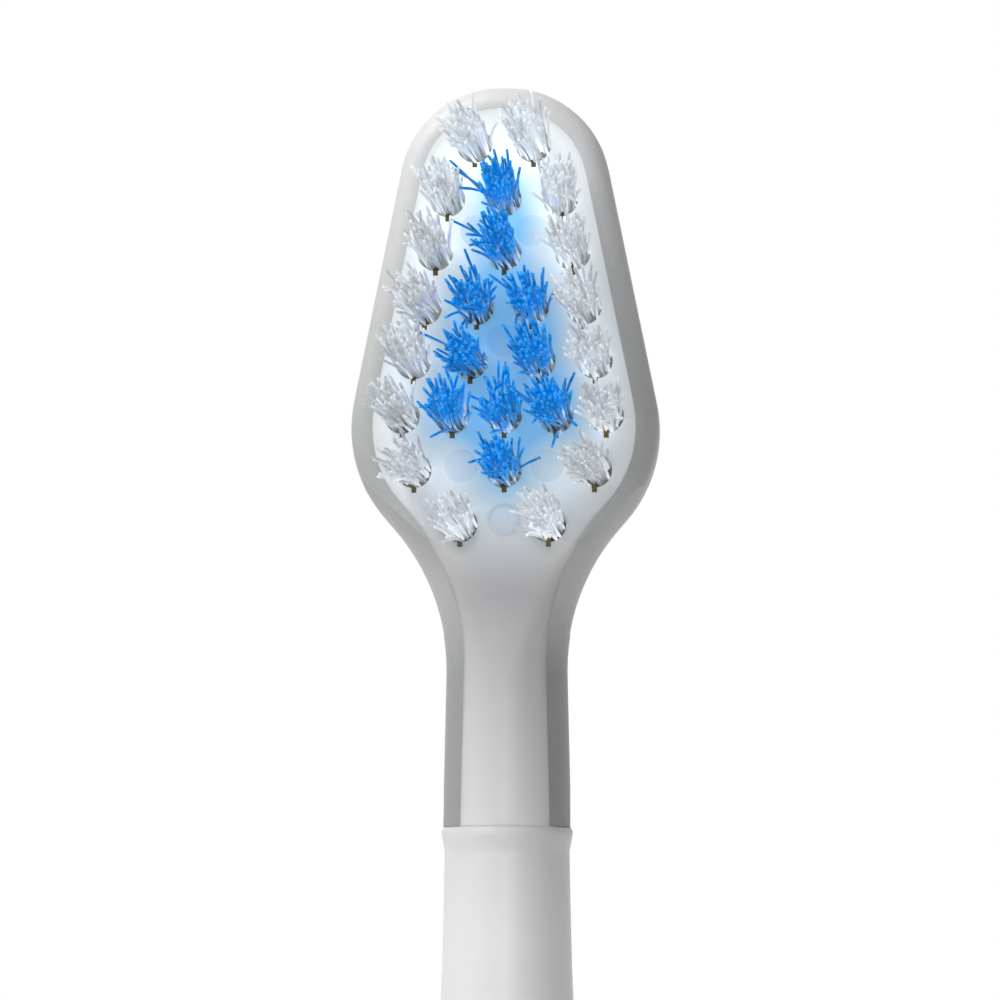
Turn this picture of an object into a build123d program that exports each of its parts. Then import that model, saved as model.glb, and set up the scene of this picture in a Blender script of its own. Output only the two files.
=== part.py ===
from build123d import *
import math
import os

# Brush head for a vibrating toothbrush handle, in millimetres.
# Z runs along the brush from the mouth of the socket, the bristles point to -Y.

# Overall sizes
total_length = 80.2
base_radius = 6.0

# Outline of the head and neck, seen from the bristle side
head_tip_half_width = 3.70
head_flank_slope = 0.204
tip_flat_width = 0.16
hip_radius = 5.85
shoulder_slope = 0.88
shoulder_point_x = 5.62
shoulder_point_drop = 17.8
shoulder_straight_length = 0.4
neck_top_half_width = 2.51
neck_top_drop = 23.2
neck_end_half_width = 2.70
rim_end_drop = 31.43

# Depth of the plate and neck, and the rounds of the side view
plate_front_y = -2.9
plate_back_y = 1.8
plate_front_round = 0.9
plate_back_round = 1.6
plate_end_drop = 20.0
plate_end_round = 7.0
neck_dip_depth = 0.05
neck_dip_drop = 23.0
neck_dip_round = 14.0
back_round = 30.0
neck_front_margin = 0.3
neck_back_margin = 0.4
turning_play = 0.04

# Soft rim around the head and down both sides of the neck
rim_width_head = 0.95
rim_width_neck = 0.80

# White shaft below the rim
lip_height = 0.22
lip_overhang = 0.12
lip_foot_height = 0.85
shaft_step = 0.03
shaft_widening = 0.13
shaft_upper_length = 7.7
flare_blend_length = 5.6

# Bristle field: rows counted from the tip of the head
first_row_drop = 2.53
row_pitch = 2.31
tip_row_x = 1.25
second_row_x = 2.40
flank_edge_distance = 2.24
hip_row_x = 3.83
last_row_x = 1.88
blue_upper_x = 1.17
blue_middle_x = 1.45
blue_lower_x = 2.20
hole_radius = 0.75
hole_depth = 2.6
hole_clearance = 0.05

# Bunches of bristles
bristle_height_white = 8.5
bristle_height_blue = 8.1
strand_width = 0.24
strands_per_tuft = 6
bunch_sides = 12
strand_root_depth = 0.25
bunch_stand_up = 0.2
tip_circle_radius = 0.93
tip_height_range = 0.3
tip_height_turn = 286.5
golden_angle = 137.508
tuft_turn_angle = 40.0

# Metal anchors that pin each bunch in its hole
anchor_width = 1.9
anchor_thickness = 0.22
anchor_height = 1.55
anchor_sink = 0.35

# Round ejector marks between the holes
mark_radius = 0.68
mark_height = 0.12
mark_root_depth = 0.5
lower_mark_row = 6.93
side_mark_x = 1.85
side_mark_row = 5.93
middle_mark_row = 3.62
upper_mark_x = 1.20
upper_mark_row = 1.59

# Socket for the drive shaft
socket_radius = 3.3
socket_height = 21.0
flange_radius = 4.6
flange_depth = 1.4
flange_recess = 0.4
bore_radius = 1.9
bore_depth = 10.0
bore_mouth_chamfer = 0.3
key_radius = 1.5
key_flat = 1.1
key_depth = 8.0
clip_thickness = 0.3
clip_width = 1.8
clip_inset = 1.0
clip_bow = 0.6
clip_gap = 0.1

# Cylinders and boxes stand on their start
upright = (Align.CENTER, Align.CENTER, Align.MIN)

# Heights and widths that follow from the sizes above
shoulder_point_z = total_length - shoulder_point_drop
neck_top_z = total_length - neck_top_drop
plate_end_z = total_length - plate_end_drop
neck_dip_z = total_length - neck_dip_drop
rim_end_z = total_length - rim_end_drop
shaft_top_z = rim_end_z - lip_height - lip_foot_height
shaft_low_z = shaft_top_z - shaft_upper_length
lip_radius = neck_end_half_width + lip_overhang
shaft_top_radius = neck_end_half_width - shaft_step
shaft_low_radius = shaft_top_radius + shaft_widening
neck_radius = max(neck_top_half_width, neck_end_half_width)
block_half_width = 2 * head_tip_half_width


def crossing(point_a, direction_a, point_b, direction_b):
    """Point where two lines of the outline meet."""
    cross = direction_a.X * direction_b.Y - direction_a.Y * direction_b.X
    gap = point_b - point_a
    along = (gap.X * direction_b.Y - gap.Y * direction_b.X) / cross
    return point_a + direction_a * along


def inward(direction, amount):
    """Step to the inside of an outline that runs down its right half."""
    return Vector(direction.Y, -direction.X) * amount


def round_over(length, direction_a, direction_b):
    """Radius of the round between two lines that takes up this length of each."""
    return length / math.tan(math.radians(direction_a.get_angle(direction_b)) / 2)


def outline_lines():
    """Directions of the flank, shoulder and neck down the right side, and a point on each."""
    flank = Vector(head_flank_slope, -1).normalized()
    shoulder = Vector(-shoulder_slope, -1).normalized()
    neck = Vector(neck_end_half_width - neck_top_half_width, rim_end_z - neck_top_z).normalized()
    points = [
        Vector(head_tip_half_width, total_length),
        Vector(shoulder_point_x, shoulder_point_z),
        Vector(neck_top_half_width, neck_top_z),
    ]
    return [flank, shoulder, neck], points


def outline_corners(inset_head, inset_neck):
    """Corners at the tip, hip, throat and end of the neck, both insets measured inwards."""
    (flank, shoulder, neck), (on_flank, on_shoulder, on_neck) = outline_lines()
    across = Vector(1, 0)
    on_flank += inward(flank, inset_head)
    on_shoulder += inward(shoulder, inset_head)
    on_neck += inward(neck, inset_neck)
    tip = crossing(Vector(0, total_length - inset_head), across, on_flank, flank)
    hip = crossing(on_flank, flank, on_shoulder, shoulder)
    throat = crossing(on_shoulder, shoulder, on_neck, neck)
    end = crossing(on_neck, neck, Vector(0, rim_end_z), across)
    return tip, hip, throat, end


def outline_radii():
    """Radii at the tip and throat: the throat takes the shoulder that the hip leaves."""
    (flank, shoulder, neck), _ = outline_lines()
    _, hip, throat, _ = outline_corners(0, 0)
    hip_length = hip_radius / round_over(1, flank, shoulder)
    throat_length = (throat - hip).length - hip_length - shoulder_straight_length
    tip_radius = round_over(head_tip_half_width - tip_flat_width, Vector(1, 0), flank)
    return tip_radius, round_over(throat_length, shoulder, neck)


def outline_face(inset_head, inset_neck):
    """Filled outline of head and neck in the XZ view."""
    tip, hip, throat, end = outline_corners(inset_head, inset_neck)
    tip_radius, throat_radius = outline_radii()
    corners = [(0, tip.Y), (tip.X, tip.Y), (hip.X, hip.Y), (throat.X, throat.Y), (end.X, end.Y)]
    radii = [tip_radius - inset_head, hip_radius - inset_head, throat_radius + inset_head]
    right = FilletPolyline(*corners, radius=radii)
    left = mirror(right, about=Plane.YZ)
    floor = Line((-end.X, end.Y), (end.X, end.Y))
    flat = make_face(Curve() + [right, left, floor])
    return Plane.XZ * flat


def side_slab():
    """Side view: flat plate, a dip to the slim neck in front of it and a swell behind it."""
    top_z = total_length + plate_back_round
    front = FilletPolyline(
        (plate_front_y, top_z),
        (plate_front_y, plate_end_z),
        (neck_dip_depth - neck_top_half_width, neck_dip_z),
        (-neck_end_half_width - neck_front_margin, rim_end_z),
        radius=[plate_end_round, neck_dip_round],
    )
    back = FilletPolyline(
        (plate_back_y, top_z),
        (plate_back_y, plate_end_z),
        (neck_end_half_width + neck_back_margin, rim_end_z),
        radius=back_round,
    )
    ends = [Line(front @ 0, back @ 0), Line(front @ 1, back @ 1)]
    flat = Plane.YZ * make_face(Curve() + [front, back] + ends)
    return extrude(Pos(-block_half_width, 0, 0) * flat, 2 * block_half_width, dir=(1, 0, 0))


def neck_turning():
    """Turned form, a little outside the outline, that rounds the neck and fades out on the shoulders."""
    _, hip, throat, end = outline_corners(-turning_play, -turning_play)
    _, throat_radius = outline_radii()
    reach = throat + (hip - throat).normalized() * 2 * block_half_width
    top_z = total_length + block_half_width
    corners = [(end.X, end.Y), (throat.X, throat.Y), (reach.X, reach.Y)]
    side = FilletPolyline(*corners, radius=throat_radius - turning_play)
    rest = Polyline((reach.X, reach.Y), (reach.X, top_z), (0, top_z), (0, end.Y), (end.X, end.Y))
    return revolve(Plane.XZ * make_face(Curve() + [side, rest]), Axis.Z)


def face_edges(plate, side):
    """Edges of the plate's front (side 0) or back (side -1), without the cut at the bottom."""
    upper = plate.edges().filter_by(lambda edge: edge.center().Z > rim_end_z + plate_front_round)
    return upper.group_by(Axis.Y)[side]


def outer_form():
    """Head and neck with the soft rim on: a rounded plate on a round neck, dipped in side view."""
    silhouette = Pos(0, plate_back_y, 0) * outline_face(0, 0)
    plate = extrude(silhouette, plate_back_y - plate_front_y, dir=(0, -1, 0))
    plate = fillet(face_edges(plate, 0), plate_front_round)
    plate = fillet(face_edges(plate, -1), plate_back_round)
    height = shoulder_point_z - rim_end_z
    spine = Pos(0, 0, rim_end_z) * Cylinder(neck_radius, height, align=upright)
    return side_slab() & neck_turning() & (plate + spine)


def core_prism():
    """Block whose walls part the white plate and neck from the soft rim."""
    inner = outline_face(rim_width_head, rim_width_neck)
    return extrude(Pos(0, block_half_width, 0) * inner, 2 * block_half_width, dir=(0, -1, 0))


def shaft():
    """Round shaft that widens to the base, with a small lip under the soft rim."""
    upper = Vector(shaft_low_radius - shaft_top_radius, shaft_low_z - shaft_top_z)
    lower = Vector(base_radius - shaft_low_radius, -shaft_low_z)
    corners = [(shaft_top_radius, shaft_top_z), (shaft_low_radius, shaft_low_z), (base_radius, 0)]
    side = FilletPolyline(*corners, radius=round_over(flare_blend_length, upper, lower))
    foot = Line((base_radius, 0), (0, 0))
    lip = [(lip_radius, rim_end_z - lip_height), (neck_end_half_width, rim_end_z), (0, rim_end_z), (0, 0)]
    profile = Plane.XZ * make_face(Curve() + [side, foot, Polyline(corners[0], *lip)])
    return revolve(profile, Axis.Z)


def socket_cavity():
    """Hollow in the shaft that the drive socket is pressed into."""
    well = Cylinder(socket_radius, flange_recess + socket_height, align=upright)
    step = Cylinder(flange_radius, flange_recess + flange_depth, align=upright)
    return well + step


def row_z(row):
    """Height of a row of tufts."""
    return total_length - first_row_drop - row * row_pitch


def pair(x, row):
    """Both places of a row at this distance from the middle."""
    return [(-x, row_z(row)), (x, row_z(row))]


def white_places():
    """Clear tufts: a pair in every row, beside the rim along the flanks."""
    spots = pair(tip_row_x, 0) + pair(second_row_x, 1)
    for row in range(2, 6):
        edge_x = head_tip_half_width + head_flank_slope * (total_length - row_z(row))
        spots += pair(edge_x - flank_edge_distance, row)
    return spots + pair(hip_row_x, 6) + pair(last_row_x, 7)


def blue_places():
    """Blue tufts: four in the middle line and three pairs beside it."""
    middle = [(0.0, row_z(row)) for row in (1, 2, 5, 6)]
    return middle + pair(blue_upper_x, 3) + pair(blue_middle_x, 4) + pair(blue_lower_x, 5)


def mark_places():
    """Ejector marks, which lie between the rows of tufts."""
    middle = [(0.0, row_z(row)) for row in (middle_mark_row, lower_mark_row)]
    return middle + pair(upper_mark_x, upper_mark_row) + pair(side_mark_x, side_mark_row)


def drilled(depth, radius, x, z, start_y):
    """Cylinder along Y that starts at start_y and runs towards +Y."""
    base = Plane(origin=(x, start_y, z), x_dir=(1, 0, 0), z_dir=(0, 1, 0))
    return base * Cylinder(radius, depth, align=upright)


def anchor(x, z):
    """Flat metal anchor, driven in edge first across the middle of a hole."""
    middle_y = plate_front_y + anchor_sink + anchor_height / 2
    return Pos(x, middle_y, z) * Box(anchor_thickness, anchor_height, anchor_width)


def anchor_slit(x, z):
    """Slit beside the hole that guides the anchor in, as deep as the hole."""
    return Pos(x, plate_front_y + hole_depth / 2, z) * Box(anchor_thickness, hole_depth, anchor_width)


def brush_body(form):
    """White moulding: head plate, neck and shaft, drilled for the bristles."""
    length = mark_height + mark_root_depth
    marks = [drilled(length, mark_radius, x, z, plate_front_y - mark_height) for x, z in mark_places()]
    body = (form & core_prism()) + shaft() + marks
    holes = []
    for x, z in white_places() + blue_places():
        holes.append(drilled(hole_depth, hole_radius, x, z, plate_front_y))
        holes.append(anchor_slit(x, z))
    return body - socket_cavity() - holes


def tuft(x, z, height, turn):
    """Bunch of bristles: folded root round its anchor, strands that fan out to the tips."""
    root_radius = hole_radius - hole_clearance
    root_height = hole_depth + bunch_stand_up
    seat = Plane(origin=(x, plate_front_y + hole_depth, z), x_dir=(1, 0, 0), z_dir=(0, -1, 0))
    bunch = extrude(seat * RegularPolygon(root_radius, bunch_sides), root_height)
    root = bunch - anchor(x, z)
    reach = root_radius - strand_width * math.sqrt(0.5)
    strands = []
    for k in range(strands_per_tuft):
        share = math.sqrt((k + 0.5) / strands_per_tuft)
        angle = math.radians(k * golden_angle + turn)
        across = Vector(math.cos(angle), 0, math.sin(angle))
        foot = Vector(x, plate_front_y + strand_root_depth, z) + across * (reach * share)
        shortfall = tip_height_range * share * (1 + math.cos(math.radians(k * tip_height_turn + turn))) / 2
        tip = Vector(x, plate_front_y - height + shortfall, z) + across * (tip_circle_radius * share)
        run = tip - foot
        strand = Box(strand_width, strand_width, run.length, align=upright)
        strands.append(Plane(origin=foot, x_dir=across, z_dir=run) * strand)
    return root + strands


def clip_span():
    """Lowest and highest point of the clip, inside the keyed part of the bore."""
    key_start = flange_recess + bore_depth
    return key_start + clip_inset, key_start + key_depth - clip_inset


def drive_socket():
    """Hard sleeve: a round guide bore, then a smaller D-shaped one with a slot for the clip."""
    low, high = clip_span()
    foot = Pos(0, 0, flange_recess)
    sleeve = foot * Cylinder(socket_radius, socket_height, align=upright)
    flange = foot * Cylinder(flange_radius, flange_depth, align=upright)
    guide = foot * Cylinder(bore_radius, bore_depth, align=upright)
    mouth = foot * Cone(bore_radius + bore_mouth_chamfer, bore_radius, bore_mouth_chamfer, align=upright)
    beyond_flat = Pos(0, key_flat + key_radius) * Rectangle(2 * socket_radius, 2 * key_radius)
    key = extrude(foot * (Circle(key_radius) - beyond_flat), bore_depth + key_depth)
    slot_depth = clip_thickness + clip_bow
    slot = Pos(0, key_flat + slot_depth / 2, low - clip_gap) * Box(
        clip_width + 2 * clip_gap, slot_depth, high - low + 2 * clip_gap, align=upright
    )
    return sleeve + flange - guide - mouth - key - slot


def spring_clip():
    """Steel leaf that bows into the keyed bore and grips the flat of the drive shaft."""
    low, high = clip_span()
    middle = (low + high) / 2
    outer = key_flat + clip_thickness + clip_bow
    inner = outer - clip_thickness
    back = ThreePointArc((outer, low), (outer - clip_bow, middle), (outer, high))
    front = ThreePointArc((inner, low), (inner - clip_bow, middle), (inner, high))
    ends = [Line((outer, low), (inner, low)), Line((outer, high), (inner, high))]
    leaf = Plane.YZ * make_face(Curve() + [back, front] + ends)
    return extrude(Pos(-clip_width / 2, 0, 0) * leaf, clip_width, dir=(1, 0, 0))


def write(name, shape):
    """Saves one node."""
    export_step(shape, os.path.join("parts", name + ".step"))


def main():
    os.makedirs("parts", exist_ok=True)
    form = outer_form()
    write("brush_body", brush_body(form))
    write("soft_rim", form - core_prism())
    write("drive_socket", drive_socket())
    write("spring_clip", spring_clip())
    white = white_places()
    blue = blue_places()
    write("tuft_anchors", Compound(children=[anchor(x, z) for x, z in white + blue]))
    for number, (x, z) in enumerate(white, 1):
        write(f"tuft_white_{number:02d}", tuft(x, z, bristle_height_white, tuft_turn_angle * number))
    for number, (x, z) in enumerate(blue, 1):
        write(f"tuft_blue_{number:02d}", tuft(x, z, bristle_height_blue, tuft_turn_angle * number))


main()
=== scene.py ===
"""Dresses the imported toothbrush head: moulded plastics, soft rim, bristle tufts and a plain studio."""

import math
import random

import bmesh
import bpy
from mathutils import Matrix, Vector


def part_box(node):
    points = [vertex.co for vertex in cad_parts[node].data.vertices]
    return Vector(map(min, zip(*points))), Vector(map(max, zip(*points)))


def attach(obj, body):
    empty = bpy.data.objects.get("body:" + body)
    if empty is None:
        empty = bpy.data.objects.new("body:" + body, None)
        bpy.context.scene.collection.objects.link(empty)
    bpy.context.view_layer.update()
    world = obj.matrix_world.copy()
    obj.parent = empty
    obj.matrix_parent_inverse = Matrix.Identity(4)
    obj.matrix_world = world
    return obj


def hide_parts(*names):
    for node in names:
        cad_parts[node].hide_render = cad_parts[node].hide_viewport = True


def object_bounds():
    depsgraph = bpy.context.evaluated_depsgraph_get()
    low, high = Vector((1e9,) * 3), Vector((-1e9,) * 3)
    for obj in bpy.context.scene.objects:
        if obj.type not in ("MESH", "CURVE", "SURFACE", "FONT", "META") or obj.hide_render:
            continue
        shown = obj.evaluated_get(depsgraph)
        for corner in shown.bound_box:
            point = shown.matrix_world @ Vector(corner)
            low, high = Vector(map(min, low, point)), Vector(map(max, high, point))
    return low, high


bl_info = {
    "name": "Toothbrush head dresser",
    "version": (1, 0, 0),
    "blender": (4, 5, 0),
    "location": "3D View > Sidebar > Brush head",
    "description": "Adds bristles and finishes to the packed brush head",
    "category": "Object",
}

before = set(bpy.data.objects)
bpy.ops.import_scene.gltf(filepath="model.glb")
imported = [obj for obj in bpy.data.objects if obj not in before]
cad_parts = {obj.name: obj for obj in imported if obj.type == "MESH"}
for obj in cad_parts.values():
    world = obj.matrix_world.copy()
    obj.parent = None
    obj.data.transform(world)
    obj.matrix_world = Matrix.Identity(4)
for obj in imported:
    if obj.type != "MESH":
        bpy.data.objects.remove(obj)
CAD_BOX = [list(corner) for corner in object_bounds()]
MM = 0.001

BLUE_TUFTS = sorted(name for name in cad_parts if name.startswith("tuft_blue"))
CLEAR_TUFTS = sorted(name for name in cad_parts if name.startswith("tuft_white"))
PLATE_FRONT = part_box("soft_rim")[0].y
HEAD_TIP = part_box("soft_rim")[1].z

# Heights on the brush, counted down from the tip of the head.
TIP_Z = HEAD_TIP - 2 * MM
MIDDLE_Z = HEAD_TIP - 9 * MM
FIELD_Z = HEAD_TIP - 16 * MM
FIELD_FOOT_Z = HEAD_TIP - 17.5 * MM
LAST_ROW_Z = HEAD_TIP - 19 * MM
THROAT_TOP_Z = HEAD_TIP - 20.5 * MM
THROAT_Z = HEAD_TIP - 21.7 * MM
NECK_Z = HEAD_TIP - 25 * MM
NECK_LOW_Z = HEAD_TIP - 29 * MM
LIP_TOP_Z = HEAD_TIP - 31.4 * MM
LIP_FOOT_Z = HEAD_TIP - 33.2 * MM
SHAFT_Z = HEAD_TIP - 36 * MM
MARK_FRONT = min(v.co.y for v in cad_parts["brush_body"].data.vertices if v.co.z > THROAT_Z)

# Widths over which the shading rounds off the edges of the white moulding.
EDGE_EASE = 0.05 * MM
THROAT_EASE = 1.0 * MM
LIP_FADE = 0.5 * MM
BEVEL_SAMPLES = 8

# Painted light that the blue tufts pipe down: how far it spreads over the plate and down the holes.
HALO_END = 2.6 * MM
HAZE_END = 5.4 * MM
HOLE_SHADE = 0.9 * MM
HOLE_LIGHT = 0.35

# Filaments: how they sit in the hole, and how unevenly they lean and end.
HOLE_GAP = 0.05 * MM
ROOT_DEPTH = 0.9 * MM
GOLDEN_ANGLE = math.radians(137.508)
ANGLE_PLAY = 0.25
TUFT_LEAN = 0.09 * MM
TIP_UNEVEN = 0.25 * MM
TIP_SWAY = (-0.2, 0.1)
LOOSE_LEAST = 0.5
LOOSE_RATE = 1.4
BOW = (1.2, 2.2)
STRAY_TURN = 0.8
STRAY_SHARE = (0.3, 1.0)
STRAY_RISE = (0.1 * MM, 0.7 * MM)
FILAMENT_SIDES = 6
FILAMENT_CUTS = 4
TIP_INSET = 0.45
TIP_DROP = 0.006
BLUE_SEED = 100
CLEAR_SEED = 300

# Stage, in metres. The key lamp hangs up and to the left of the head, the front lamp behind the camera.
VIEW_MIDDLE = Vector((-0.17 * MM, PLATE_FRONT, HEAD_TIP - 17.66 * MM))
LAMP_TARGET = Vector((0, PLATE_FRONT, HEAD_TIP - 10 * MM))
KEY_OFFSET = Vector((-0.14, -0.11, 0.216))
KEY_SIZE = 0.16
FRONT_BEHIND = 0.03
FRONT_SIZE = 0.12
FLOOR_SIZE = 2.0
FLOOR_GAP = 0.05 * MM
FADE_START = 50 * MM
FADE_END = 180 * MM
SENSOR_WIDTH = 36
CLIP_START = 0.01

# Place of the colour among the outputs of a mix node.
MIX_COLOUR = 2


def colour(hex_code):
    """Linear red, green and blue of an sRGB hex code."""
    parts = [int(hex_code[i : i + 2], 16) / 255 for i in (1, 3, 5)]
    return tuple(p / 12.92 if p <= 0.04045 else ((p + 0.055) / 1.055) ** 2.4 for p in parts)


def grey(level):
    """Linear grey of this level."""
    return (level, level, level)


def rgba(values):
    """Colour with full alpha, as a shader socket takes it."""
    return (*values[:3], 1.0)


def blend_colours(first, second, share):
    """Colour between two, by the share of the second."""
    return tuple(a + (b - a) * share for a, b in zip(first, second))


WHITE = grey(1)
BLACK = grey(0)

# Painted shade and light: how much the neck's colour is darkened for the shade that falls on it below the
# tufts, and how much the rim's colour is lightened at the throat and the tip, where the light falls on it.
NECK_SHADE = 0.36
RIM_NECK_SHADE = NECK_SHADE * 0.7
TIP_LIGHT = 0.5
THROAT_LIGHT = TIP_LIGHT / 4

MARK_TINT = (0.86, 0.90, 0.94)
# Painted glow round the blue tufts: its colour from far to near, and its strength along the brush, highest at
# the tip.
GLOW_SHADES = [(0.0, (0.38, 0.41, 0.40)), (0.5, (0.29, 0.36, 0.38)), (1.0, (0.10, 0.27, 0.42))]
GLOW_LEVELS = [(FIELD_Z, grey(0.9)), (MIDDLE_Z, WHITE), (TIP_Z, grey(2.4))]
# Painted light and shade on the filaments along the brush: brightest at the tip, the clear ones also at the
# last row, and shaded between, the clear ones more than the blue.
BLUE_SHADES = [(FIELD_Z, (0.95, 0.98, 0.98)), (MIDDLE_Z, (0.92, 0.96, 0.98)), (TIP_Z, WHITE)]
CLEAR_SHADES = [(LAST_ROW_Z, WHITE), (FIELD_FOOT_Z, grey(0.82)), (MIDDLE_Z, grey(0.86)), (TIP_Z, WHITE)]


def colour_setting(name, description, hex_code):
    """Colour that a user can change in the panel."""
    return bpy.props.FloatVectorProperty(
        name=name, description=description, subtype="COLOR", size=3, min=0, max=1, default=colour(hex_code)
    )


class BodySettings(bpy.types.PropertyGroup):
    """Colours of the moulded parts and the metal."""

    plastic: colour_setting("Plastic", "Milky white of the plate, neck and shaft", "#E4E3E3")
    # Glow and haze are painted light: the blue that the blue tufts shed on the plate round them, put into its
    # colour.
    glow: colour_setting("Glow", "Blue that shines through round the blue tufts", "#98D2F8")
    blue_light_haze: colour_setting("Haze", "Fainter blue over the plate further off", "#DCE8F3")
    rim: colour_setting("Rim", "Grey of the soft rim", "#A9ABA9")
    socket: colour_setting("Socket", "Off-white of the drive socket", "#CDD0D2")
    steel: colour_setting("Steel", "Spring steel of the clip", "#A9ABAD")
    # The brass is dull and made darker still: painted shade for the slits that the anchors sit in.
    brass: colour_setting("Brass", "Dark dull brass of the anchors", "#62573C")


class BristleSettings(bpy.types.PropertyGroup):
    """Sizes and colours of the bristle tufts."""

    diameter: bpy.props.FloatProperty(
        name="Filament",
        description="Thickness of one filament",
        default=0.12 * MM,
        unit="LENGTH",
        precision=6,
    )
    count: bpy.props.IntProperty(name="Filaments", description="Filaments in one tuft", default=80, min=8)
    flare: bpy.props.FloatProperty(
        name="Flare",
        description="How far the outer tips stand out past their roots",
        default=0.25 * MM,
        unit="LENGTH",
        precision=5,
    )
    wander: bpy.props.FloatProperty(
        name="Wander",
        description="How unevenly the tips lie",
        default=0.16 * MM,
        unit="LENGTH",
        precision=5,
    )
    blue_strays: bpy.props.IntProperty(
        name="Blue strays", description="Bent filaments in a blue tuft", default=3, min=0
    )
    clear_strays: bpy.props.IntProperty(
        name="Clear strays", description="Bent filaments in a clear tuft", default=2, min=0
    )
    blue_reach: bpy.props.FloatProperty(
        name="Blue reach",
        description="How far a bent blue filament leans aside",
        default=1.1 * MM,
        unit="LENGTH",
        precision=5,
    )
    clear_reach: bpy.props.FloatProperty(
        name="Clear reach",
        description="How far a bent clear filament leans aside",
        default=0.4 * MM,
        unit="LENGTH",
        precision=5,
    )
    # Painted glow: the filaments' colour shines at this strength, for the light that they pipe.
    blue_light: bpy.props.FloatProperty(
        name="Blue light", description="Strength of the light that blue filaments pipe", default=0.39
    )
    clear_light: bpy.props.FloatProperty(
        name="Clear light", description="Strength of the light that clear filaments pipe", default=0.5
    )
    blue: colour_setting("Blue nylon", "Dyed filaments in the middle", "#048DD4")
    blue_tip: colour_setting("Blue tips", "Paler ends of the dyed filaments", "#3499E4")
    blue_root: colour_setting("Blue roots", "Dyed filaments in the shade of their holes", "#0A2246")
    clear: colour_setting("Clear nylon", "Undyed filaments round them", "#C6CBD0")
    clear_tip: colour_setting("Clear tips", "Frosted ends of the undyed filaments", "#D2D7DC")
    clear_root: colour_setting("Clear roots", "Undyed filaments in the shade of their holes", "#94989C")


class StageSettings(bpy.types.PropertyGroup):
    """Table, camera and lamps."""

    distance: bpy.props.FloatProperty(
        name="Distance", description="From the camera to the plate", default=290 * MM, unit="LENGTH"
    )
    azimuth: bpy.props.FloatProperty(
        name="Azimuth",
        description="Camera to the right of straight ahead",
        default=math.radians(2.6),
        unit="ROTATION",
    )
    elevation: bpy.props.FloatProperty(
        name="Elevation",
        description="Camera above the plate's middle",
        default=math.radians(-3.9),
        unit="ROTATION",
    )
    span: bpy.props.FloatProperty(
        name="View", description="Width of the view at the plate", default=42.37 * MM, unit="LENGTH"
    )
    key: bpy.props.FloatProperty(
        name="Key lamp", description="Power of the lamp at the upper left", default=0.79, unit="POWER"
    )
    front: bpy.props.FloatProperty(
        name="Front lamp", description="Power of the lamp behind the camera", default=0.16, unit="POWER"
    )
    ambient: bpy.props.FloatProperty(name="Ambient", description="Strength of the room's light", default=0.20)
    table: colour_setting("Table", "Pale table under the brush head", "#F2F2F2")


def add_node(owner, kind, inputs=None, stops=(), **options):
    """Adds one shader node, sets its options and colour stops, and fills its inputs with values or links."""
    tree = owner.node_tree
    made = tree.nodes.new(kind)
    for name, value in options.items():
        setattr(made, name, value)
    for key, value in (inputs or {}).items():
        # A mix node has several sockets of one name, of which one is enabled.
        named = [socket for socket in made.inputs if socket.name == key and socket.enabled]
        socket = named[0] if named else made.inputs[key]
        if isinstance(value, bpy.types.NodeSocket):
            tree.links.new(value, socket)
        else:
            socket.default_value = value
    if stops:
        elements = made.color_ramp.elements
        for position, _ in stops[1:-1]:
            elements.new(position)
        for element, (position, shade) in zip(elements, stops):
            element.position = position
            element.color = rgba(shade)
    return made


def start_material(name):
    """New material with an empty node tree."""
    material = bpy.data.materials.new(name)
    material.use_nodes = True
    material.node_tree.nodes.clear()
    return material


def finish_material(material, shader_inputs):
    """Gives the material its surface shader and output."""
    shader = add_node(material, "ShaderNodeBsdfPrincipled", shader_inputs)
    add_node(material, "ShaderNodeOutputMaterial", {"Surface": shader.outputs["BSDF"]})
    return material


def object_axis(material, axis):
    """Place of the shaded point along one axis of the frame."""
    place = add_node(material, "ShaderNodeTexCoord")
    parts = add_node(material, "ShaderNodeSeparateXYZ", {"Vector": place.outputs["Object"]})
    return parts.outputs[axis]


def layered(material, layers):
    """Colours laid over each other like glazes, each one tinting those below."""
    below = layers[0]
    for above in layers[1:]:
        glaze = {"Factor": 1.0, "A": below, "B": above}
        tinted = add_node(
            material, "ShaderNodeMix", glaze, data_type="RGBA", blend_type="MULTIPLY", clamp_result=True
        )
        below = tinted.outputs[MIX_COLOUR]
    return below


def grain(material, cell_mm, strength, height_mm, normal=None):
    """Cloudiness and bump of a skin's grain, from a noise whose cells are cell_mm apart.

    Real grain measures a few hundredths of a millimetre, which is too fine to show in the render. It is
    drawn as coarse as it needs to show.
    """
    place = add_node(material, "ShaderNodeTexCoord")
    noise = add_node(
        material,
        "ShaderNodeTexNoise",
        {"Vector": place.outputs["Object"], "Scale": 1 / (cell_mm * MM), "Detail": 3.0, "Roughness": 0.5},
    )
    relief = {"Height": noise.outputs["Fac"], "Strength": strength, "Distance": height_mm * MM}
    if normal:
        relief["Normal"] = normal
    bump = add_node(material, "ShaderNodeBump", relief)
    return noise.outputs["Fac"], bump.outputs["Normal"]


def along_brush(material, shades):
    """Tone that changes along the brush: shades are (height, colour), lowest first."""
    low, high = shades[0][0], shades[-1][0]
    share = {"Value": object_axis(material, "Z"), "From Min": low, "From Max": high}
    along = add_node(material, "ShaderNodeMapRange", share).outputs["Result"]
    stops = [((z - low) / (high - low), shade) for z, shade in shades]
    return add_node(material, "ShaderNodeValToRGB", {"Fac": along}, stops).outputs["Color"]


def rooted_points(name):
    """Points of a tuft's CAD solid that sit in its hole."""
    return [v.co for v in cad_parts[name].data.vertices if v.co.y > PLATE_FRONT]


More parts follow.
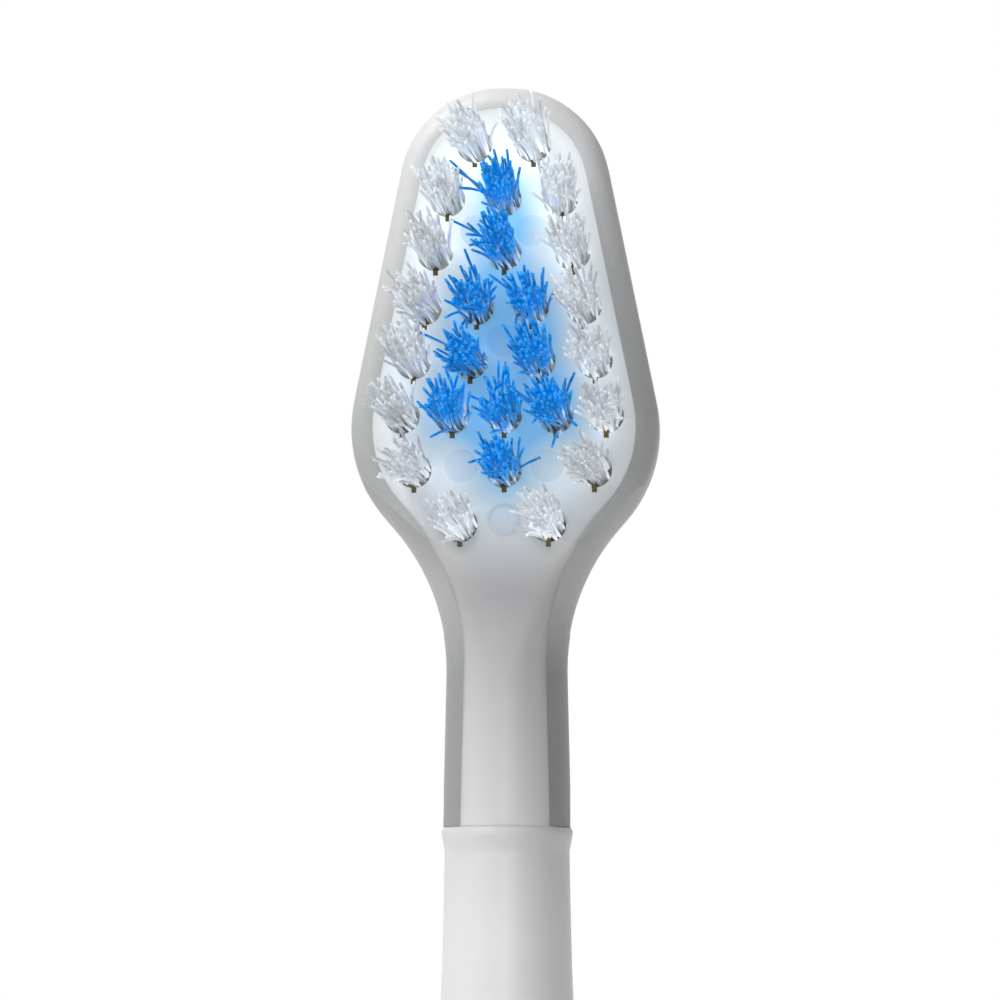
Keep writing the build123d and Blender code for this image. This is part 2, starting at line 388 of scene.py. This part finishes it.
def tuft_middle(name):
    """Centre of the tuft's hole at the plate's face."""
    rooted = rooted_points(name)
    x = (min(c.x for c in rooted) + max(c.x for c in rooted)) / 2
    z = (min(c.z for c in rooted) + max(c.z for c in rooted)) / 2
    return x, PLATE_FRONT, z


def hole_radius(name):
    """Radius of the hole: half the width of the tuft in it, and the gap round that."""
    across = [c.x for c in rooted_points(name)]
    return (max(across) - min(across)) / 2 + HOLE_GAP


def near_tufts(material, names, end):
    """Mask that adds up round these tufts and fades out at this distance from their middles."""
    place = add_node(material, "ShaderNodeTexCoord").outputs["Object"]
    total = 0.0
    for name in names:
        ends = {0: place, 1: tuft_middle(name)}
        away = add_node(material, "ShaderNodeVectorMath", ends, operation="DISTANCE")
        fall = {"Value": away.outputs["Value"], "From Max": end, "To Min": 1.0, "To Max": 0.0}
        near = add_node(material, "ShaderNodeMapRange", fall, interpolation_type="SMOOTHSTEP")
        both = {0: total, 1: near.outputs["Result"]}
        added = add_node(material, "ShaderNodeMath", both, operation="ADD", use_clamp=True)
        total = added.outputs["Value"]
    return total


def eased_normal(material):
    """Normal that rounds the throat's crease widely, the lip half as widely and other edges narrowly."""
    lip = [
        (LIP_FOOT_Z - LIP_FADE, BLACK),
        (LIP_FOOT_Z, grey(0.5)),
        (LIP_TOP_Z, grey(0.5)),
        (LIP_TOP_Z + LIP_FADE, BLACK),
    ]
    throat = [(NECK_LOW_Z, BLACK), (THROAT_Z, WHITE), (THROAT_TOP_Z, WHITE), (FIELD_FOOT_Z, BLACK)]
    widths = {"Value": along_brush(material, lip + throat), "To Min": EDGE_EASE, "To Max": THROAT_EASE}
    radius = add_node(material, "ShaderNodeMapRange", widths).outputs["Result"]
    return add_node(material, "ShaderNodeBevel", {"Radius": radius}, samples=BEVEL_SAMPLES).outputs["Normal"]


def raised_marks(material):
    """Mask of the round marks, which stand a little in front of the plate."""
    rise = {"Value": object_axis(material, "Y"), "From Min": PLATE_FRONT, "From Max": MARK_FRONT}
    proud = add_node(material, "ShaderNodeMapRange", rise)
    heights = {0: object_axis(material, "Z"), 1: THROAT_Z}
    above = add_node(material, "ShaderNodeMath", heights, operation="GREATER_THAN")
    both = {0: proud.outputs["Result"], 1: above.outputs["Value"]}
    return add_node(material, "ShaderNodeMath", both, operation="MULTIPLY").outputs["Value"]


def down_holes(material):
    """Share of the painted glow that is left at this depth below the plate's face, inside the holes."""
    fall = {
        "Value": object_axis(material, "Y"),
        "From Min": PLATE_FRONT,
        "From Max": PLATE_FRONT + HOLE_SHADE,
        "To Min": 1.0,
        "To Max": HOLE_LIGHT,
    }
    return add_node(material, "ShaderNodeMapRange", fall).outputs["Result"]


def milky_polypropylene(body):
    """Moulded polypropylene, milky and satin, with painted shade on the neck; round the blue tufts it holds
    painted blue light in its colour and a painted glow for the light they pipe down.
    """
    material = start_material("milky_polypropylene")
    near = near_tufts(material, BLUE_TUFTS, HALO_END)
    far = near_tufts(material, BLUE_TUFTS, HAZE_END)
    # Painted shade: the plastic's colour is darkened on the neck, most at the throat below the tufts.
    shaded_neck = blend_colours(body.plastic, BLACK, NECK_SHADE)
    skin = along_brush(material, [(SHAFT_Z, body.plastic), (THROAT_Z, shaded_neck), (FIELD_Z, body.plastic)])
    # Painted blue light round the blue tufts: a halo close to them and a fainter haze further off.
    halo_stops = [(0.0, WHITE), (0.45, blend_colours(body.glow, body.plastic, 0.6)), (1.0, body.glow)]
    halo = add_node(material, "ShaderNodeValToRGB", {"Fac": near}, halo_stops).outputs["Color"]
    haze_stops = [(0.0, WHITE), (1.0, body.blue_light_haze)]
    blue_light_haze = add_node(material, "ShaderNodeValToRGB", {"Fac": far}, haze_stops).outputs["Color"]
    mark_stops = [(0.0, WHITE), (1.0, MARK_TINT)]
    mark_mask = {"Fac": raised_marks(material)}
    marks = add_node(material, "ShaderNodeValToRGB", mark_mask, mark_stops).outputs["Color"]
    # Painted glow of the plate round the tufts, fading down the holes.
    painted_glow = add_node(material, "ShaderNodeValToRGB", {"Fac": near}, GLOW_SHADES).outputs["Color"]
    both = {0: far, 1: down_holes(material)}
    strength = add_node(material, "ShaderNodeMath", both, operation="MULTIPLY").outputs["Value"]
    _, normal = grain(material, 0.6, 0.05, 0.02, eased_normal(material))
    return finish_material(
        material,
        {
            "Base Color": layered(material, [skin, halo, blue_light_haze, marks]),
            "Roughness": 0.36,
            "IOR": 1.49,
            "Subsurface Weight": 0.35,
            "Subsurface Radius": (1.0, 1.0, 1.0),
            "Subsurface Scale": 1.2 * MM,
            "Emission Color": layered(material, [painted_glow, along_brush(material, GLOW_LEVELS), marks]),
            "Emission Strength": strength,
            "Normal": normal,
        },
    )


def soft_elastomer(body):
    """Thermoplastic elastomer, moulded on: a soft grey skin with a broad dull shine, with painted shade on
    the neck and painted light at the throat and the tip.
    """
    material = start_material("soft_elastomer")
    cloud, normal = grain(material, 0.35, 0.08, 0.02)
    fleck_stops = [(0.35, grey(0.96)), (0.65, WHITE)]
    flecks = add_node(material, "ShaderNodeValToRGB", {"Fac": cloud}, fleck_stops).outputs["Color"]
    # Painted shade and light: the rim's colour is darkened on the neck and lightened at the throat and the
    # tip.
    shaded_neck = blend_colours(body.rim, BLACK, RIM_NECK_SHADE)
    throat = blend_colours(body.rim, WHITE, THROAT_LIGHT)
    lit = blend_colours(body.rim, WHITE, TIP_LIGHT)
    skin = along_brush(
        material,
        [(NECK_Z, shaded_neck), (THROAT_Z, throat), (THROAT_TOP_Z, throat), (FIELD_Z, body.rim), (HEAD_TIP, lit)],
    )
    return finish_material(
        material,
        {
            "Base Color": layered(material, [skin, flecks]),
            "Roughness": 0.48,
            "IOR": 1.5,
            "Subsurface Weight": 0.1,
            "Subsurface Radius": (1.0, 1.0, 1.0),
            "Subsurface Scale": 0.4 * MM,
            "Normal": normal,
        },
    )


def moulded_acetal(body):
    """Acetal socket, moulded: a dense off-white with a fine matt skin."""
    material = start_material("moulded_acetal")
    cloud, normal = grain(material, 0.5, 0.1, 0.02)
    stops = [(0.3, blend_colours(body.socket, BLACK, 0.06)), (0.7, body.socket)]
    tone = add_node(material, "ShaderNodeValToRGB", {"Fac": cloud}, stops).outputs["Color"]
    return finish_material(material, {"Base Color": tone, "Roughness": 0.5, "IOR": 1.48, "Normal": normal})


def rolled_metal(name, shade, roughness):
    """Thin rolled strip, steel or brass: faint cloudy marks and a soft metallic shine."""
    material = start_material(name)
    cloud, normal = grain(material, 0.12, 0.15, 0.005)
    stops = [(0.3, blend_colours(shade, BLACK, 0.15)), (0.7, shade)]
    tone = add_node(material, "ShaderNodeValToRGB", {"Fac": cloud}, stops).outputs["Color"]
    return finish_material(
        material, {"Base Color": tone, "Metallic": 1.0, "Roughness": roughness, "Normal": normal}
    )


def drawn_nylon(name, shank, tip, root, light, shades):
    """Drawn nylon filament, glossy, with a painted glow for the light it pipes, a paler end, and a root
    striped with painted shade and glints.
    """
    material = start_material(name)
    along = add_node(material, "ShaderNodeAttribute", attribute_name="along").outputs["Fac"]
    tone = add_node(material, "ShaderNodeAttribute", attribute_name="tone").outputs["Fac"]
    # The very end is paler: partly its frosted round end, partly a painted highlight.
    length_stops = [(0.0, shank), (0.94, shank), (0.985, tip)]
    body = add_node(material, "ShaderNodeValToRGB", {"Fac": along}, length_stops).outputs["Color"]
    # Painted shade and glints at the root: by the random tone, each filament is dark or pale there.
    stripe_stops = [(0.55, root), (0.65, blend_colours(shank, WHITE, 0.6))]
    shade_and_glint_stripe = add_node(material, "ShaderNodeValToRGB", {"Fac": tone}, stripe_stops).outputs["Color"]
    root_stops = [(0.2, WHITE), (0.55, BLACK)]
    rooted = add_node(material, "ShaderNodeValToRGB", {"Fac": along}, root_stops).outputs["Color"]
    blend = {"Factor": rooted, "A": body, "B": shade_and_glint_stripe}
    whole = add_node(material, "ShaderNodeMix", blend, data_type="RGBA", clamp_result=True)
    shaded = layered(material, [whole.outputs[MIX_COLOUR], along_brush(material, shades)])
    value = add_node(material, "ShaderNodeMapRange", {"Value": tone, "To Min": 0.7, "To Max": 1.2})
    varied = {"Color": shaded, "Value": value.outputs["Result"]}
    shade = add_node(material, "ShaderNodeHueSaturation", varied).outputs["Color"]
    return finish_material(
        material,
        {
            "Base Color": shade,
            "Roughness": 0.34,
            "IOR": 1.53,
            "Specular IOR Level": 0.3,
            "Emission Color": shade,
            "Emission Strength": light,
        },
    )


def dress(name, material):
    """Gives a CAD node its material."""
    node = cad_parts[name]
    node.data.materials.clear()
    node.data.materials.append(material)


def filament_blank():
    """Straight filament of radius 1 and length 1, rounded off at its tip."""
    bm = bmesh.new()
    bmesh.ops.create_cone(
        bm, cap_ends=True, cap_tris=False, segments=FILAMENT_SIDES, radius1=1, radius2=1, depth=1
    )
    bmesh.ops.translate(bm, verts=bm.verts, vec=(0, 0, 0.5))
    upright = [e for e in bm.edges if abs(e.verts[0].co.z - e.verts[1].co.z) > 0.5]
    bmesh.ops.subdivide_edges(bm, edges=upright, cuts=FILAMENT_CUTS)
    tip = max(bm.faces, key=lambda f: f.calc_center_median().z)
    shoulder = list(tip.verts)
    bmesh.ops.inset_region(bm, faces=[tip], thickness=TIP_INSET)
    bmesh.ops.translate(bm, verts=shoulder, vec=(0, 0, -TIP_DROP))
    for face in bm.faces:
        face.smooth = True
    blank = bpy.data.meshes.new("filament_blank")
    bm.to_mesh(blank)
    bm.free()
    return blank


def grow_tuft(name, bristles, strays, stray_reach, seed):
    """Fills one hole with filaments that lean out and end unevenly; the last few bend aside as strays."""
    rng = random.Random(seed)
    x, face_y, z = tuft_middle(name)
    reach = hole_radius(name) - bristles.diameter / 2
    low_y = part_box(name)[0].y
    root_y = face_y + ROOT_DEPTH
    blank = filament_blank()
    bm = bmesh.new()
    along = bm.verts.layers.float.new("along")
    tone = bm.verts.layers.float.new("tone")
    lean = Vector((rng.gauss(0, TUFT_LEAN), 0, rng.gauss(0, TUFT_LEAN)))
    for number in range(bristles.count):
        share = math.sqrt((number + 0.5) / bristles.count)
        angle = number * GOLDEN_ANGLE + rng.uniform(-ANGLE_PLAY, ANGLE_PLAY)
        outward = Vector((math.cos(angle), 0, math.sin(angle)))
        root = Vector((x, root_y, z)) + outward * reach * share
        drift = lean + outward * bristles.flare * share**2
        loose = bristles.wander * (LOOSE_LEAST + rng.expovariate(LOOSE_RATE))
        drift += Vector((rng.gauss(TIP_SWAY[0], 1), 0, rng.gauss(TIP_SWAY[1], 1))) * loose
        tip_y = low_y + abs(rng.gauss(0, TIP_UNEVEN))
        bow = rng.uniform(*BOW)
        if number >= bristles.count - strays:
            aside = math.pi + rng.gauss(0, STRAY_TURN)
            drift += Vector((math.cos(aside), 0, math.sin(aside))) * rng.uniform(*STRAY_SHARE) * stray_reach
            tip_y += rng.uniform(*STRAY_RISE)
        drift *= min(1, (bristles.flare + stray_reach) / drift.length)
        brightness = rng.random()
        first = len(bm.verts)
        bm.from_mesh(blank)
        bm.verts.ensure_lookup_table()
        for vert in bm.verts[first:]:
            t = vert.co.z
            side = Vector((vert.co.x, 0, vert.co.y)) * bristles.diameter / 2
            vert.co = root + side + drift * t**bow + Vector((0, (tip_y - root_y) * t, 0))
            vert[along] = t
            vert[tone] = brightness
    bmesh.ops.recalc_face_normals(bm, faces=bm.faces)
    mesh = bpy.data.meshes.new(name + "_filaments")
    bm.to_mesh(mesh)
    bm.free()
    bpy.data.meshes.remove(blank)
    piece = bpy.data.objects.new(name + "_filaments", mesh)
    bpy.context.scene.collection.objects.link(piece)
    return piece


def plant(bristles, names, material, strays, stray_reach, seed):
    """Grows the tufts of one colour, each fixed to the root body in the place of its CAD node, which it
    hides.
    """
    for number, name in enumerate(names):
        piece = grow_tuft(name, bristles, strays, stray_reach, seed + number)
        piece.data.materials.append(material)
        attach(piece, "root")
        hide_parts(name)


def add_lamp(name, place, target, size, power):
    """Square soft lamp at one place, aimed at another."""
    data = bpy.data.lights.new(name, "AREA")
    data.shape = "SQUARE"
    data.size = size
    data.energy = power
    lamp = bpy.data.objects.new(name, data)
    lamp.location = place
    lamp.rotation_euler = (target - place).to_track_quat("-Z", "Y").to_euler()
    bpy.context.scene.collection.objects.link(lamp)


def add_camera(back, distance, span):
    """Camera that looks at the middle of the view, from this direction and distance."""
    data = bpy.data.cameras.new("camera")
    data.sensor_width = SENSOR_WIDTH
    data.lens = data.sensor_width * distance / span
    data.clip_start = CLIP_START
    camera = bpy.data.objects.new("camera", data)
    camera.location = VIEW_MIDDLE + back * distance
    camera.rotation_euler = (-back).to_track_quat("-Z", "Y").to_euler()
    bpy.context.scene.collection.objects.link(camera)
    bpy.context.scene.camera = camera


def seen_rays(owner):
    """Mask of the rays that see the background: the camera's, and those that glass and gloss send on."""
    rays = add_node(owner, "ShaderNodeLightPath")
    seen = rays.outputs["Is Camera Ray"]
    for name in ("Is Transmission Ray", "Is Glossy Ray"):
        both = {0: seen, 1: rays.outputs[name]}
        seen = add_node(owner, "ShaderNodeMath", both, operation="MAXIMUM").outputs["Value"]
    return seen


def white_surround(strength):
    """World that looks plain white but lights the object softly."""
    world = bpy.data.worlds.new("studio")
    bpy.context.scene.world = world
    world.use_nodes = True
    world.node_tree.nodes.clear()
    level = add_node(
        world, "ShaderNodeMapRange", {"Value": seen_rays(world), "To Min": strength, "To Max": 1.0}
    )
    glow = {"Color": rgba(WHITE), "Strength": level.outputs["Result"]}
    light = add_node(world, "ShaderNodeBackground", glow)
    add_node(world, "ShaderNodeOutputWorld", {"Surface": light.outputs["Background"]})


def painted_table(tint):
    """Matt pale paint, which runs out into the white round it."""
    material = start_material("painted_table")
    place = add_node(material, "ShaderNodeTexCoord")
    away = add_node(material, "ShaderNodeVectorMath", {0: place.outputs["Object"]}, operation="LENGTH")
    fade = {"Value": away.outputs["Value"], "From Min": FADE_START, "From Max": FADE_END}
    far = add_node(material, "ShaderNodeMapRange", fade, interpolation_type="SMOOTHSTEP")
    both = {0: far.outputs["Result"], 1: seen_rays(material)}
    glow = add_node(material, "ShaderNodeMath", both, operation="MULTIPLY").outputs["Value"]
    return finish_material(
        material,
        {
            "Base Color": rgba(tint),
            "Roughness": 0.7,
            "Emission Color": rgba(WHITE),
            "Emission Strength": glow,
        },
    )


def pale_floor(tint):
    """Plain table under the brush head."""
    bm = bmesh.new()
    bmesh.ops.create_grid(bm, x_segments=1, y_segments=1, size=FLOOR_SIZE)
    mesh = bpy.data.meshes.new("floor")
    bm.to_mesh(mesh)
    bm.free()
    mesh.materials.append(painted_table(tint))
    floor = bpy.data.objects.new("floor", mesh)
    floor.location.z = CAD_BOX[0][2] - FLOOR_GAP
    bpy.context.scene.collection.objects.link(floor)


class BRUSH_OT_body(bpy.types.Operator):
    """Finish the white moulding and the soft rim round it"""

    bl_idname = "brush.body"
    bl_label = "Body and rim"

    def execute(self, context):
        body = context.scene.brush_body
        dress("brush_body", milky_polypropylene(body))
        dress("soft_rim", soft_elastomer(body))
        return {"FINISHED"}


class BRUSH_OT_socket(bpy.types.Operator):
    """Finish the drive socket and its steel clip"""

    bl_idname = "brush.socket"
    bl_label = "Socket and clip"

    def execute(self, context):
        body = context.scene.brush_body
        dress("drive_socket", moulded_acetal(body))
        dress("spring_clip", rolled_metal("spring_steel", body.steel, 0.3))
        return {"FINISHED"}


class BRUSH_OT_anchors(bpy.types.Operator):
    """Finish the metal anchors at the foot of the tufts"""

    bl_idname = "brush.anchors"
    bl_label = "Anchors"

    def execute(self, context):
        dress("tuft_anchors", rolled_metal("dull_brass", context.scene.brush_body.brass, 0.45))
        return {"FINISHED"}


class BRUSH_OT_blue_tufts(bpy.types.Operator):
    """Grow the dyed tufts in the middle of the plate"""

    bl_idname = "brush.blue_tufts"
    bl_label = "Blue tufts"

    def execute(self, context):
        bristles = context.scene.brush_bristles
        material = drawn_nylon(
            "blue_nylon",
            shank=bristles.blue,
            tip=bristles.blue_tip,
            root=bristles.blue_root,
            light=bristles.blue_light,
            shades=BLUE_SHADES,
        )
        plant(
            bristles,
            BLUE_TUFTS,
            material,
            strays=bristles.blue_strays,
            stray_reach=bristles.blue_reach,
            seed=BLUE_SEED,
        )
        return {"FINISHED"}


class BRUSH_OT_clear_tufts(bpy.types.Operator):
    """Grow the undyed tufts round the blue ones"""

    bl_idname = "brush.clear_tufts"
    bl_label = "Clear tufts"

    def execute(self, context):
        bristles = context.scene.brush_bristles
        material = drawn_nylon(
            "clear_nylon",
            shank=bristles.clear,
            tip=bristles.clear_tip,
            root=bristles.clear_root,
            light=bristles.clear_light,
            shades=CLEAR_SHADES,
        )
        plant(
            bristles,
            CLEAR_TUFTS,
            material,
            strays=bristles.clear_strays,
            stray_reach=bristles.clear_reach,
            seed=CLEAR_SEED,
        )
        return {"FINISHED"}


class BRUSH_OT_stage(bpy.types.Operator):
    """Set the floor, lamps, surround and camera"""

    bl_idname = "brush.stage"
    bl_label = "Stage"

    def execute(self, context):
        stage = context.scene.brush_stage
        back = Vector(
            (
                math.sin(stage.azimuth) * math.cos(stage.elevation),
                -math.cos(stage.azimuth) * math.cos(stage.elevation),
                math.sin(stage.elevation),
            )
        )
        behind = VIEW_MIDDLE + back * (stage.distance + FRONT_BEHIND)
        pale_floor(stage.table)
        white_surround(stage.ambient)
        add_lamp("key", LAMP_TARGET + KEY_OFFSET, LAMP_TARGET, KEY_SIZE, stage.key)
        add_lamp("front", behind, VIEW_MIDDLE, FRONT_SIZE, stage.front)
        add_camera(back, stage.distance, stage.span)
        context.scene.view_settings.view_transform = "Standard"
        return {"FINISHED"}


STEPS = (
    BRUSH_OT_body,
    BRUSH_OT_socket,
    BRUSH_OT_anchors,
    BRUSH_OT_blue_tufts,
    BRUSH_OT_clear_tufts,
    BRUSH_OT_stage,
)


class BRUSH_PT_panel(bpy.types.Panel):
    """Sidebar panel with the settings and the steps"""

    bl_idname = "BRUSH_PT_panel"
    bl_label = "Brush head"
    bl_space_type = "VIEW_3D"
    bl_region_type = "UI"
    bl_category = "Brush head"

    def draw(self, context):
        scene = context.scene
        for group in (scene.brush_body, scene.brush_bristles, scene.brush_stage):
            for name in group.bl_rna.properties.keys():
                if name not in ("rna_type", "name"):
                    self.layout.prop(group, name)
        for step in STEPS:
            self.layout.operator(step.bl_idname)


CLASSES = (BodySettings, BristleSettings, StageSettings, *STEPS, BRUSH_PT_panel)


def register():
    """Adds the classes and the settings."""
    for cls in CLASSES:
        bpy.utils.register_class(cls)
    bpy.types.Scene.brush_body = bpy.props.PointerProperty(type=BodySettings)
    bpy.types.Scene.brush_bristles = bpy.props.PointerProperty(type=BristleSettings)
    bpy.types.Scene.brush_stage = bpy.props.PointerProperty(type=StageSettings)


def unregister():
    """Removes the settings and the classes."""
    del bpy.types.Scene.brush_stage
    del bpy.types.Scene.brush_bristles
    del bpy.types.Scene.brush_body
    for cls in reversed(CLASSES):
        bpy.utils.unregister_class(cls)


def main():
    """Runs every step in order."""
    register()
    for step in STEPS:
        group, name = step.bl_idname.split(".")
        getattr(getattr(bpy.ops, group), name)()


if __name__ == "__main__":
    main()
